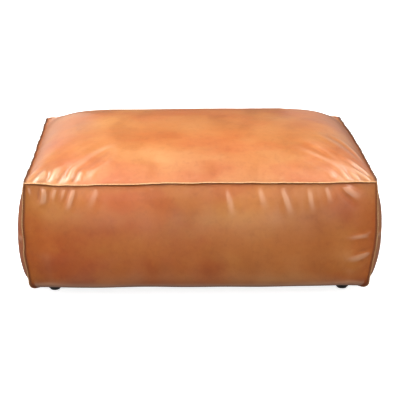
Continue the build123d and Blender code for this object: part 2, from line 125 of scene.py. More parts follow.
# Raw lips of the seams
LIP = 0.0068
LIP_GAP = 0.0001
TOP_LIP_OUT = (0.82, 0.70)  # outward and upward parts of a top seam's lips
CORNER_BLEND = 0.016  # where the lips turn into those round the corner
CORNER_TRIM = 0.25  # how much lower they are at the corner
FOOT_TRIM = (0.20, 0.80)  # height at an upright seam's foot, and what it gains
FOOT_TRIM_REACH = 0.03  # within this distance
LIP_OUTSIDE = ((0.18, 0.90), (0.5, 0.93), (0.86, 1.0), (1.0, 0.86))  # height, leather
LIP_INSIDE = (1.0, 0.5)
LIP_RAW = (0.0, 0.12, 0.6, 1.0, 1.0, 0.2)  # how raw each row of a lip looks
LIP_EDGE_SHADE = (0.3, 0.8, 1.0, 1.0, 1.0, 0.8)  # how much of the edge's painted shade each row takes
LIP_EDGE_ROWS = (3, 4)  # rows of faces that are the cut edge itself
TOP_EDGE_SHADE = (0.0, 0.9, 0.15, 0.9)  # painted shade on the cut edges, side by side: none at the front, most at the right and left
# Painted shade on the cut edges of the upright seams
UPRIGHT_EDGE_SHADE = 0.35
SHELL_CREASE = math.radians(55)

# Stitches
STITCH_PITCH = 0.0075
STITCH_LENGTH = 0.0052
STITCH_RADIUS = 0.00042
STITCH_UP = 0.45  # share of the lip's height where the stitches run
STITCH_OUT = 0.93  # share of the leather's thickness
STITCH_SIDES = 6
STITCH_MARGIN = 0.008  # plain stretch at each end of a seam
STITCH_PROFILE = (  # way along the stitch, radius and lift in radii
    (0.0, 0.5, -1.2), (0.16, 1.0, 0.35), (0.5, 1.0, 0.7), (0.84, 1.0, 0.35), (1.0, 0.5, -1.2),
)

# Measures that the leather's material reads
RELIEF_PASSES = 14
RELIEF_RIM = 4  # rows beside the rim that have no relief
RELIEF_LIMIT = 2  # millimetres
SEAM_SHADE_ROWS = 12  # rows of points beside the rim that the painted shade beside a seam may darken
FAR = 0.1  # distance from a seam that counts as far

# Grid of the cover before it is refined once
CELLS_X = 124
CELLS_Y = 84
CELLS_Z = 40
GRADING = 0.35  # how much finer the cells are beside the seams

# Cloth simulation
SIM_FRAMES = 18
SIM_CAP = 0.012
CLOTH = {
    "quality": 5, "mass": 0.35, "air_damping": 4,
    "tension_stiffness": 40, "compression_stiffness": 8, "shear_stiffness": 15,
    "bending_stiffness": 7.0,
    "tension_damping": 15, "compression_damping": 15, "shear_damping": 10,
    "use_pressure": True, "uniform_pressure_force": 2.0,
}

# Fill
TOPPER_UNDER = 0.006  # below the leather's outside
TOPPER_SHRINK = 0.004  # at its edges
CHANNEL_SPACING = 0.25
CHANNEL_WIDTH = 0.006
CHANNEL_DEPTH = 0.004
CHANNEL_FADE_POWER = 8
WRAP_UNDER = 0.005
WRAP_SHRINK = 0.004
WRAP_DEPTH = 0.024
WRAP_ABOVE = 0.0015  # how far above its CAD solid's bottom it starts
SLAB_LUMPS = 0.0006
SLAB_LUMP_LENGTH = 0.12
FOAM = ((60, 40), 0.006, 61)  # cells, rounding of the rim, and seed
INSULATOR = ((70, 50), 0.0014, 62)
PAD_CREASE = math.radians(50)

# Dust cover
COVER_CELLS = (90, 60)
COVER_SAG = 0.004
COVER_SAG_FROM = 0.02  # from its edge
COVER_SAG_OVER = 0.25
COVER_RIPPLE = ((0.0006, 0.07, 63),)
COVER_RIPPLE_REACH = 0.05
COVER_TURNED = 0.012  # width of its turned edge, which is twice as thick
COVER_TURN = 0.002

# Camera and stage
LENS = 95.15
SENSOR = 36
SHIFT_X = 0.066
CAMERA_AT = (-0.1144, -3.1807, 1.3434)
CAMERA_DOWN = 20.07  # degrees
CAMERA_TURN = -0.76
FLOOR = 30.0
WALL = 28.0
WALL_FOOT = -0.5
WALL_SIDES = 64
STAGE_WHITE = (0.93, 0.93, 0.93, 1)
STAGE_GLOW_FROM = 1.6
STAGE_GLOW_FULL = 4.5
FLOOR_GLOW = 0.80
WORLD_LIGHT = 0.12
LIGHTS = (  # name, place, size, watts, target, and whether it shows in gloss
    ("overhead", (-0.5, -0.1, 2.6), (3.0, 2.0), 46, (-0.2, 0, 0.3), False),
    ("strip_left", (-1.40, -0.30, 2.1), (2.0, 1.1), 46, (-0.45, -0.3, 0.3), True),
    ("strip_right", (1.40, -0.30, 2.1), (2.0, 0.9), 27, (0.45, -0.3, 0.3), True),
    ("front_left", (-1.9, -1.9, 0.9), (1.5, 0.8), 12, (0, 0, 0.2), False),
    ("front_right", (1.9, -1.9, 0.9), (1.5, 0.8), 12, (0, 0, 0.2), False),
    ("corner_left", (-2.2, -1.4, 1.2), (1.2, 0.8), 6, (-0.4, -0.3, 0.3), True),
    ("corner_right", (2.2, -1.3, 1.2), (1.2, 0.8), 4, (0.4, -0.3, 0.3), True),
    ("front_sheen", (0.0, -2.7, 2.3), (4.2, 0.8), 7, (0, -0.3, 0.3), True),
    ("front_fill", (0.0, -3.4, 0.4), (2.6, 0.8), 32, (0, 0, 0.10), False),
    ("back_fill", (0.0, 3.4, 0.8), (2.4, 1.4), 32, (0, 0, 0.15), False),
    ("back_left", (-2.2, 3.6, 1.0), (3.0, 1.6), 8, (-0.4, 0, 0.35), True),
    ("back_right", (2.2, 3.6, 1.0), (3.0, 1.6), 4, (0.4, 0, 0.35), True),
)

# Folds of the top panel: x and y of both ends in millimetres, then width, height and bend
FOLD_UNITS = (1000,) * 4 + (10000,) * 3  # to the metre
TOP_FOLDS = (
    (-476, -336, -438, -262, 135, 76, 60),
    (-424, -337, -410, -256, 145, 78, 10),
    (-378, -337, -360, -272, 100, 60, 0),
    (-350, -337, -336, -284, 70, 24, 0),
    (-318, -337, -300, -276, 100, 12, 0),
    (494, -337, 418, -276, 85, 62, 30),
    (458, -337, 424, -290, 70, 50, 0),
    (496, -306, 416, -236, 85, 40, 40),
    (424, -337, 402, -292, 75, 32, 0),
    (384, -337, 366, -290, 100, 16, 0),
    (497, -230, 412, -70, 140, 24, 60),
    (-496, -292, -440, -222, 120, 18, 0),
    (492, 334, 424, 262, 110, 52, 30),
    (-492, 334, -430, 262, 110, 48, 30),
    (450, 336, 424, 262, 100, 42, 0),
    (-444, 336, -416, 266, 100, 40, 0),
    (398, 336, 384, 280, 90, 24, 0),
    (-392, 336, -374, 278, 90, 22, 0),
    (496, 290, 430, 236, 100, 32, 0),
    (-496, 282, -436, 230, 100, 30, 0),
)

# The same for each side panel, by the distance along it and the height
FRONT_FOLDS = (
    (-490, 352, -484, 312, 50, 18, 0),
    (-448, 352, -456, 286, 95, 56, -60),
    (-410, 352, -424, 302, 70, 19, 0),
    (-386, 352, -398, 300, 65, 15, 0),
    (-358, 352, -386, 274, 85, 31, -20),
    (-286, 352, -330, 276, 125, 16, 0),
    (70, 352, 92, 256, 100, 17, -30),
    (164, 352, 192, 280, 115, 16, 20),
    (226, 352, 262, 256, 105, 23, -30),
    (308, 350, 324, 266, 85, 17, 20),
    (354, 352, 372, 292, 90, 17, -20),
    (400, 352, 468, 304, 120, 42, 0),
    (504, 206, 412, 192, 90, 20, 0),
    (504, 146, 420, 122, 110, 27, 0),
)
RIGHT_FOLDS = (
    (-306, 352, -300, 284, 90, 44, 40),
    (-262, 352, -250, 296, 80, 28, 0),
    (302, 352, 290, 284, 90, 42, 0),
    (254, 352, 240, 300, 80, 24, 0),
    (-342, 190, -268, 178, 90, 26, 0),
    (342, 150, 268, 132, 90, 26, 0),
)
BACK_FOLDS = (
    (-456, 352, -448, 288, 90, 46, 40),
    (-408, 352, -396, 294, 80, 30, 0),
    (-352, 352, -338, 300, 90, 18, 0),
    (462, 352, 452, 284, 90, 44, 40),
    (412, 352, 400, 296, 80, 30, 0),
    (180, 352, 164, 290, 90, 22, 0),
    (-130, 352, -112, 284, 90, 22, 0),
    (-504, 176, -420, 160, 90, 28, 0),
    (504, 196, 424, 178, 90, 28, 0),
)
LEFT_FOLDS = (
    (-304, 352, -292, 286, 90, 44, 0),
    (-254, 352, -244, 300, 80, 26, 0),
    (306, 352, 298, 284, 90, 44, 40),
    (262, 352, 254, 296, 80, 30, 0),
    (214, 352, 210, 308, 80, 18, 0),
    (342, 186, 266, 170, 90, 26, 0),
)
SIDE_FOLDS = (FRONT_FOLDS, RIGHT_FOLDS, BACK_FOLDS, LEFT_FOLDS)

# Colours of the hide, as ramp stops
HIDE = (
    (0.34, (0.545, 0.130, 0.029)),
    (0.46, (0.560, 0.156, 0.036)),
    (0.56, (0.570, 0.184, 0.044)),
    (0.68, (0.590, 0.214, 0.058)),
)
MOTTLE = ((0.34, (0.86, 0.78, 0.70)), (0.50, (1, 1, 1)), (0.66, (1.05, 1.14, 1.20)))
FLECKS = ((0.30, (0.88, 0.84, 0.80)), (0.52, (1, 1, 1)), (0.72, (1.06, 1.08, 1.10)))
# Dark brown painted on the cut edges as their shade
EDGE_SHADE_BROWN = (0.060, 0.016, 0.006)

# Colours laid over the hide, with their shares, and the spans over which they come in: painted shade
# near the floor and beside the seams, ridges and valleys partly the pull-up and partly painted highlight
# and shade, and the raw edges' own tan
# Painted shade on the hide towards the floor, with its share
FLOOR_PAINTED_SHADE = ((0.54, 0.36, 0.30), 0.9)
FLOOR_SHADE_SPAN = (0.030, 0.075)  # height
# Paler ridges: partly the pull-up leather stretched there, partly a painted highlight
RIDGE_PULL_UP_AND_HIGHLIGHT = ((0.86, 0.54, 0.36), 0.30)
RIDGE_SPAN = (0.1, 1.2)  # relief in millimetres
# Darker valleys: partly the pull-up leather creased there, partly painted shade
VALLEY_PULL_UP_AND_SHADE = ((0.30, 0.075, 0.018), 0.35)
VALLEY_SPAN = (0.1, 1.0)
# Painted shade in the valley beside each seam, under its lips
SEAM_PAINTED_SHADE = ((0.16, 0.042, 0.012), 0.55)
SEAM_SHADE_SPAN = (0.0005, 0.0055)  # distance from the seam
RAW_TAN = ((0.78, 0.44, 0.20), 0.85)
MOTTLE_SHARE = 0.65
FLECK_SHARE = 0.7

# Noise of the hide as scale, detail, roughness and distortion, and its cells as scale and border
PATCH_NOISE = (10.0, 4, 0.5, 0.3)
CLOUD_NOISE = (5.0, 5, 0.55, 0.4)
CLOUD_STRETCH = (0.55, 1, 1)
FLECK_NOISE = (55.0, 6, 0.65, 0.4)
SWELL_NOISE = (26, 5, 0.5)
SWELL_HEIGHT = 1.6
GRAIN_CELLS = (620, 0.22)
GRAIN_HEIGHT = 0.10
CREASE_CELLS = (95, 0.10)
CREASE_HEIGHT = 0.06
CREASE_WARP = (30, 0.03)  # scale and reach
HIDE_BUMP = 0.001
HIDE_ROUGHNESS = (0.30, 0.70, 0.34, 0.46)  # from and to, of the patches and of the roughness

# Colour of each panel: painted light and shade on one hide, paler on the top and darker on the front,
# back and sides
PAINTED_PANEL_LIGHT = {
    "top": (0.94, 1.01, 1.03),
    "front": (0.82, 0.76, 0.52),
    "right": (0.88, 0.83, 0.66),
    "back": (0.86, 0.80, 0.60),
    "left": (0.88, 0.83, 0.66),
}
PANEL_SHIFT = (3.1, 1.7, 0.9)  # moves the noise from panel to panel
TONE_PATCH_WARP = (16, 0.12)  # scale and reach
TONE_PATCH_CORE = 0.25  # share of a patch's radius in full colour
# Listed changes of tone, some the hide's own blotches and some painted sheen, highlights and shade,
# marked below: centre and radius in millimetres, and colour in per cent
TOP_TONE_AND_LIGHT_PATCHES = (
    ((-130, -100, 440), 110, (99, 93, 84)),
    ((90, -125, 440), 80, (99, 91, 80)),
    ((20, -265, 400), 150, (90, 80, 74)),
    # painted sheen on the top's front slope
    ((-90, -318, 374), 60, (102, 108, 118)),
    ((240, -230, 415), 120, (93, 93, 92)),
    ((-260, -20, 430), 110, (110, 114, 110)),
    ((370, -40, 425), 110, (112, 110, 102)),
    # painted highlights on the top's front corners, over the next two
    ((-455, -310, 370), 90, (101, 124, 180)),
    ((455, -310, 370), 90, (101, 124, 180)),
    # painted sheen on the top's front slope
    ((290, -305, 385), 80, (102, 114, 122)),
)
FRONT_TONE_AND_LIGHT_PATCHES = (
    # painted shade on the lower left of the front, over the next two
    ((-375, -382, 95), 130, (88, 68, 60)),
    ((-350, -365, 50), 80, (86, 70, 66)),
    # painted sheen at the front's corners and upper left, over the next three
    ((-460, -370, 175), 80, (110, 124, 130)),
    ((455, -370, 150), 90, (108, 114, 126)),
    ((-380, -355, 315), 110, (100, 114, 116)),
    ((-191, -394, 168), 90, (104, 112, 114)),
    ((-59, -393, 220), 100, (92, 88, 82)),
    ((36, -392, 115), 55, (90, 80, 72)),
    ((83, -393, 122), 50, (105, 112, 112)),
    ((83, -372, 300), 100, (100, 106, 102)),
    ((300, -372, 310), 160, (90, 88, 94)),
    ((-20, -375, 310), 120, (90, 90, 92)),
    ((411, -368, 289), 60, (90, 80, 76)),
)
TONE_AND_LIGHT_PATCHES = {"top": TOP_TONE_AND_LIGHT_PATCHES, "front": FRONT_TONE_AND_LIGHT_PATCHES}


# ---------- numbers

def graded(cells):
    """Grid stations from -1 to 1, closer together near both ends."""
    t = np.linspace(-1, 1, cells + 1)
    return t + GRADING * np.sin(np.pi * t) / np.pi


def smooth(t):
    """A smooth step from 0 to 1."""
    t = np.clip(t, 0, 1)
    return t * t * (3 - 2 * t)


def waves(points, length, seed):
    """Smooth seeded noise of about one wavelength, near -1 to 1."""
    rng = np.random.default_rng(seed)
    directions = rng.normal(size=(WAVE_COUNT, 3))
    directions /= np.linalg.norm(directions, axis=1)[:, None]
    lengths = length * rng.uniform(*WAVE_SPREAD, WAVE_COUNT)
    phases = rng.uniform(0, 2 * np.pi, WAVE_COUNT)
    total = np.zeros(points.shape[:-1])
    for d, l, p in zip(directions, lengths, phases):
        total += np.sin(points @ d * (2 * np.pi / l) + p)
    return total / math.sqrt(WAVE_COUNT / 2) / WAVE_PEAK


def uneven(points, layers):
    """The sum of some layers of noise, each a height, wavelength and seed."""
    return sum(height * waves(points, length, seed) for height, length, seed in layers)


def knots(s, stations, values):
    """A smooth curve through a few given values."""
    stations, values = np.array(stations, float), np.array(values, float)
    k = np.clip(np.searchsorted(stations, s, side="right") - 1, 0, len(stations) - 2)
    t = smooth((s - stations[k]) / (stations[k + 1] - stations[k]))
    return values[k] * (1 - t) + values[k + 1] * t


def unit(v):
    """Vectors scaled to length 1."""
    return v / np.maximum(np.linalg.norm(v, axis=-1, keepdims=True), 1e-12)


def normals(grid):
    """Unit normals of a grid."""
    return unit(np.cross(np.gradient(grid, axis=0), np.gradient(grid, axis=1)))


# ---------- meshes

def quads_of(index):
    """The faces of a grid of point numbers."""
    return np.stack([index[:-1, :-1], index[1:, :-1], index[1:, 1:], index[:-1, 1:]], -1).reshape(-1, 4)


def new_object(name, points, faces, materials=()):
    """A linked object with its mesh."""
    mesh = bpy.data.meshes.new(name)
    mesh.from_pydata(points, [], faces)
    for material in materials:
        mesh.materials.append(material)
    made = bpy.data.objects.new(name, mesh)
    bpy.context.scene.collection.objects.link(made)
    return made


def add_attribute(mesh, name, values):
    """A number at each point, for the materials to read."""
    attribute = mesh.attributes.new(name, "FLOAT", "POINT")
    attribute.data.foreach_set("value", np.array(values, np.float32))


# ---------- seams

def top_seam(side, s):
    """The seam between the top panel and one side, along that side."""
    bow = TOP_BOWS[side] * (1 - s ** 2)
    lift = knots(s, *TOP_LIFTS[side])
    return (
        ALONG[side] * (s * HALVES[side])[:, None]
        + OUT[side] * (DISTANCES[side] + bow)[:, None]
        + UP * (SEAM_Z + lift)[:, None]
    )


def top_ripple(side, s):
    """How the top seam wavers along its length."""
    window = 1 - np.abs(s) ** 6
    wave = uneven(top_seam(side, s), TOP_RIPPLE) * window
    return UP * wave[:, None] + OUT[side] * (TOP_RIPPLE_OUT * wave)[:, None]


def corner_signs(k):
    """Signs of X and Y at the corner where side k ends."""
    c = OUT[k] + ALONG[k]
    return c[0], c[1]


def upright_seam(k, w):
    """The upright seam at the end of side k, from its foot (w = 0) to its head."""
    sx, sy = corner_signs(k)
    arc = CORNER_ARC * math.pi / 2
    run = w * (arc + SEAM_Z - CORNER_Z - CORNER_ARC)
    angle = np.clip((arc - run) / CORNER_ARC, 0, math.pi / 2)
    rolled = CORNER_Z + CORNER_ARC * (1 - np.sin(angle))
    z = np.where(run < arc, rolled, CORNER_Z + CORNER_ARC + run - arc)
    down = (SEAM_Z - z) / (SEAM_Z - CORNER_Z)
    tuck = smooth((down - UPRIGHT_TUCK_FROM) / (1 - UPRIGHT_TUCK_FROM))
    out = UPRIGHT_BOW * np.sin(np.pi * down ** UPRIGHT_BOW_POWER) - UPRIGHT_TUCK * tuck
    out = out - CORNER_ARC * (1 - np.cos(angle))
    return np.stack([sx * (HALF_X + out), sy * (HALF_Y + UPRIGHT_Y_SHARE * out), z], -1)


def upright_ripple(k, w):
    """How an upright seam wavers along its length."""
    wave = uneven(upright_seam(k, w), UPRIGHT_RIPPLES[k]) * np.sin(np.pi * w)
    return np.array((*corner_signs(k), 0)) * wave[:, None]


def bottom_edge(side, s):
    """The line where a side panel turns under the frame."""
    start, end = upright_seam((side - 1) % 4, np.zeros(1))[0], upright_seam(side, np.zeros(1))[0]
    reach = (end - start) @ ALONG[side] / 2
    corner = start @ OUT[side]
    near = smooth(1 - (1 - np.abs(s)) * HALVES[side] / CORNER_REACH)
    middle = DISTANCES[side] - BOTTOM_TUCK
    p = (
        ALONG[side] * (s * reach)[:, None]
        + OUT[side] * (middle + (corner - middle) * near)[:, None]
        + UP * (BOTTOM_Z - (BOTTOM_Z - CORNER_Z) * near)[:, None]
    )
    ripple = uneven(p, BOTTOM_RIPPLE) * (1 - near)
    return p + UP * ripple[:, None]


# ---------- panels before the simulation

def coons(a, c, d, b, s, w):
    """A patch between the low edge a, high edge c, start edge d and end edge b."""
    x, y = ((s + 1) / 2)[:, None, None], w[None, :, None]
    return (
        (1 - y) * a[:, None] + y * c[:, None] + (1 - x) * d[None] + x * b[None]
        - (1 - x) * (1 - y) * a[0] - x * (1 - y) * a[-1] - (1 - x) * y * c[0] - x * y * c[-1]
    )


def ripple_grid(p, low, high, start, end):
    """Moves each edge of a grid by its ripple, which fades away from it."""
    moved = p.copy()
    for ripple, edge, axis in (
        (low, p[:, :1], 1), (high, p[:, -1:], 1), (start, p[:1], 0), (end, p[-1:], 0),
    ):
        fade = np.exp(-np.linalg.norm(p - edge, axis=-1) / RIPPLE_REACH)
        moved += np.expand_dims(ripple, axis) * fade[..., None]
    return moved


def with_edges(p, edges):
    """The grid with its four edges exactly on the seams."""
    p[:, 0], p[:, -1] = edges[0], edges[1]
    p[0], p[-1] = edges[2], edges[3]
    return p


def fold(points, row):
    """A puffed ridge from a seam to its end, creased on both sides."""
    x, y, end_x, end_y, width, height, bend = np.array(row) / FOLD_UNITS
    start, run = np.array((x, y)), np.array((end_x - x, end_y - y))
    length = np.linalg.norm(run)
    rel = points - start
    t = rel @ run / length ** 2
    across = (rel[..., 0] * run[1] - rel[..., 1] * run[0]) / length
    across = across - bend * 4 * t * (1 - t)
    r = across / (width * (FOLD_NARROW + FOLD_WIDEN * np.clip(t, 0, 1)))
    crease = np.exp(-((np.abs(r) - FOLD_CREASE_AT) / FOLD_CREASE_WIDTH) ** 2)
    shape = np.exp(-r ** 2) - FOLD_CREASE * crease
    envelope = smooth(t / FOLD_PEAK) * (1 - smooth((t - FOLD_PEAK) / (1 - FOLD_PEAK)))
    return height * shape * envelope


def puckers(distance, points, seed):
    """Heights of the short gathers where the stitching draws the hide in."""
    start, end = PUCKER_REACH
    near = np.exp(-(distance / end) ** 2) * (1 - np.exp(-(distance / start) ** 2))
    return PUCKER_HEIGHT * near * waves(points, PUCKER_LENGTH, seed)


def top_grid():
    """The top panel as a grid of points, crowned and folded."""
    u, v = graded(CELLS_X), graded(CELLS_Y)
    seams = [top_seam(0, u), top_seam(2, -u), top_seam(3, -v), top_seam(1, v)]
    p = coons(*seams, u, (v + 1) / 2)
    crown = (1 - np.abs(u[:, None]) ** CROWN_POWERS[0]) * (1 - np.abs(v[None]) ** CROWN_POWERS[1])
    edge = 1 - np.maximum(np.abs(u[:, None]), np.abs(v[None])) ** TOP_EDGE_POWER
    height = CROWN * crown
    for size, length, seed in TOP_SWELLS:
        height = height + size * waves(p, length, seed) * edge
    away = np.minimum(HALF_X - np.abs(p[..., 0]), HALF_Y - np.abs(p[..., 1]))
    height = height + puckers(np.maximum(away, 0), p, PUCKER_SEEDS[0])
    for row in TOP_FOLDS:
        height = height + fold(p[..., :2], row)
    p[..., 2] += height
    ripples = [top_ripple(0, u), top_ripple(2, -u), top_ripple(3, -v), top_ripple(1, v)]
    return with_edges(ripple_grid(p, *ripples), [e + r for e, r in zip(seams, ripples)])


def side_grid(side):
    """A side panel as a grid of points, from under the frame up to the top seam."""
    s = graded((CELLS_X, CELLS_Y, CELLS_X, CELLS_Y)[side])
    w = (graded(CELLS_Z) + 1) / 2
    low, high = bottom_edge(side, s), top_seam(side, s)
    start, end = (side - 1) % 4, side
    seams = [low, high, upright_seam(start, w), upright_seam(end, w)]
    p = coons(*seams, s, w)
    t = 2 * w[None] - 1
    belly_power = np.where(t > 0, BELLY_TOP[side], BELLY_FOOT)
    belly = (1 - np.abs(s[:, None]) ** BELLY_POWER) * (1 - np.abs(t) ** belly_power)
    out = BULGES[side] * belly
    edge = (1 - np.abs(s[:, None]) ** SIDE_EDGE_POWERS[0]) * (1 - np.abs(t) ** SIDE_EDGE_POWERS[1])
    for size, length, seed in SIDE_SWELLS:
        out = out + size * waves(p, length, seed) * edge
    flat = np.stack([p @ ALONG[side], p[..., 2]], -1)
    away = np.minimum(HALVES[side] - np.abs(flat[..., 0]), SEAM_Z - flat[..., 1])
    out = out + puckers(np.maximum(away, 0), p, PUCKER_SEEDS[1])
    for row in SIDE_FOLDS[side]:
        out = out + fold(flat, row)
    p = p + OUT[side] * out[..., None]
    ripples = [0 * low, top_ripple(side, s), upright_ripple(start, w), upright_ripple(end, w)]
    p = with_edges(ripple_grid(p, *ripples), [e + r for e, r in zip(seams, ripples)])
    hem = []
    for inset in reversed(HEM_INSETS):
        row = low.copy()
        row += OUT[side] * (-inset)
        row -= ALONG[side] * (s * inset)[:, None]
        row[:, 2] = low[:, 2] + (HEM_Z - low[:, 2]) * smooth(inset / HEM_INSETS[1])
        hem.append(row)
    return np.concatenate([np.stack(hem, 1), p], 1)


# ---------- cloth simulation

def relax(top, sides):
    """Lets the sewn cover settle as leather under pressure. Its seams and hems are held."""
    points, keys = [], {}

    def number(p):
        key = tuple(np.round(p, 7))
        if key not in keys:
            keys[key] = len(points)
            points.append(p)
        return keys[key]

    indices = []
    for grid in [top] + sides:
        index = np.zeros(grid.shape[:2], int)
        for i, j in np.ndindex(index.shape):
            index[i, j] = number(grid[i, j])
        indices.append(index)
    pins = set()
    for index, held_rows in zip(indices, [1] + [len(HEM_INSETS) + 1] * 4):
        pins |= set(index[0]) | set(index[-1]) | set(index[:, -1]) | set(index[:, :held_rows].ravel())
    faces = [face for index in indices for face in quads_of(index).tolist()]
    cover = new_object("cover", [tuple(p) for p in points], faces)
    group = cover.vertex_groups.new(name="held")
    group.add([int(i) for i in pins], 1.0, "REPLACE")
    modifier = cover.modifiers.new("cloth", "CLOTH")
    modifier.settings.vertex_group_mass = "held"
    for name, value in CLOTH.items():
        setattr(modifier.settings, name, value)
    modifier.settings.effector_weights.gravity = 0
    modifier.collision_settings.use_collision = False
    modifier.point_cache.frame_start = 1
    modifier.point_cache.frame_end = SIM_FRAMES
    for f in range(1, SIM_FRAMES + 1):
        bpy.context.scene.frame_set(f)
    settled = cover.evaluated_get(bpy.context.evaluated_depsgraph_get())
    moved = np.zeros(len(points) * 3, np.float32)
    settled.data.vertices.foreach_get("co", moved)
    shift = moved.reshape(-1, 3).astype(float) - np.array(points)
    far = np.linalg.norm(shift, axis=1, keepdims=True)
    moved = np.array(points) + shift * np.minimum(1, SIM_CAP / np.maximum(far, 1e-9))
    bpy.data.objects.remove(cover)
    bpy.context.scene.frame_set(1)
    return moved[indices[0]], [moved[index] for index in indices[1:]]


# ---------- refining and shells

def refined(grid):
    """The grid with a point added between each two, on a smooth curve."""
    for axis in (0, 1):
        g = np.moveaxis(grid, axis, 0)
        out = np.zeros((2 * len(g) - 1,) + g.shape[1:])
        out[::2] = g
        out[3:-3:2] = (9 * (g[1:-2] + g[2:-1]) - g[:-3] - g[3:]) / 16
        out[1] = (3 * g[0] + 6 * g[1] - g[2]) / 8
        out[-2] = (3 * g[-1] + 6 * g[-2] - g[-3]) / 8
        grid = np.moveaxis(out, 0, axis)
    return grid


def lips_of(kind, k, p):
    """The directions and heights of the lips at each point of a seam."""
    if kind == "top":
        level, rise = TOP_LIP_OUT
        mid_out, across = unit(OUT[k] * level + UP * rise), unit(UP * level - OUT[k] * rise)
        first = unit(OUT[k] - ALONG[k] + UP)
        last = unit(OUT[k] + ALONG[k] + UP)
    else:
        sx, sy = corner_signs(k)
        across = unit(OUT[(k + 1) % 4] - OUT[k])
        mid_out = unit(np.cross(np.gradient(p, axis=0), across))
        mid_out *= np.sign(mid_out[-1] @ np.array((sx, sy, 0.0)))
        first = mid_out[0]
        last = unit(np.array((sx, sy, 1.0)))
    from_start = np.linalg.norm(p - p[0], axis=1)
    near_start = 1 - smooth(from_start / CORNER_BLEND)
    near_end = 1 - smooth(np.linalg.norm(p - p[-1], axis=1) / CORNER_BLEND)
    near = np.maximum(near_start, near_end)
    out = unit(mid_out * (1 - near)[:, None] + first * near_start[:, None] + last * near_end[:, None])
    across = unit(across - out * (out @ across)[:, None])
    height = LIP * (1 + uneven(p, LIP_HEIGHTS))
    height *= 1 - CORNER_TRIM * near
    if kind != "top":
        height *= FOOT_TRIM[0] + FOOT_TRIM[1] * smooth(from_start / FOOT_TRIM_REACH)
    lean = uneven(p, LIP_LEAN)
    painted_edge_shade = np.full(len(p), TOP_EDGE_SHADE[k] if kind == "top" else UPRIGHT_EDGE_SHADE)
    return dict(p=p, out=out, across=across, height=height, lean=lean, painted_edge_shade=painted_edge_shade)


def flipped(seam):
    """The same seam from its end to its start."""
    return {name: value[::-1] for name, value in seam.items()}


def relief(grid, normal):
    """How far each point stands above the smooth surface round it, in millimetres."""
    soft = grid.copy()
    for _ in range(RELIEF_PASSES):
        soft[1:-1] = (soft[:-2] + soft[2:] + 2 * soft[1:-1]) / 4
        soft[:, 1:-1] = (soft[:, :-2] + soft[:, 2:] + 2 * soft[:, 1:-1]) / 4
    lift = ((grid - soft) * normal).sum(-1) * 1000
    lift[:RELIEF_RIM] = lift[-RELIEF_RIM:] = 0
    lift[:, :RELIEF_RIM] = lift[:, -RELIEF_RIM:] = 0
    return np.clip(lift, -RELIEF_LIMIT, RELIEF_LIMIT)


def seam_distance(grid, edges, loop):
    """Distance from each point beside the rim to the nearest seam of its panel, at most FAR."""
    seams = np.array([grid[i, j] for (i, j), found in zip(loop, edges) if found])
    away = np.full(grid.shape[:2], FAR)
    for part in (np.s_[:SEAM_SHADE_ROWS], np.s_[-SEAM_SHADE_ROWS:], np.s_[:, :SEAM_SHADE_ROWS], np.s_[:, -SEAM_SHADE_ROWS:]):
        for index in np.ndindex(away[part].shape[:1]):
            gap = np.linalg.norm(grid[part][index][:, None] - seams[None], axis=2).min(1)
            away[part][index] = np.minimum(gap, FAR)
    return away


def lip_ring(base, found):
    """Points of a lip at one point of its rim, and where the panel's two faces meet it."""
    out = unit(sum(seam["out"][k] for seam, k, sign in found))
    own = unit(sum(seam["across"][k] * sign for seam, k, sign in found))
    own = unit(own - out * (own @ out))
    height = min(seam["height"][k] for seam, k, sign in found)
    lean = sum(seam["lean"][k] * sign for seam, k, sign in found) / len(found)
    ring = []
    for up, side in LIP_OUTSIDE:
        ring.append(base + out * height * up + own * (LEATHER * side + lean * up * up))
    for up in LIP_INSIDE:
        ring.append(base + out * height * up + own * (LIP_GAP + lean * up * up))
    return ring, base + own * LEATHER, base + own * LIP_GAP - out * LEATHER


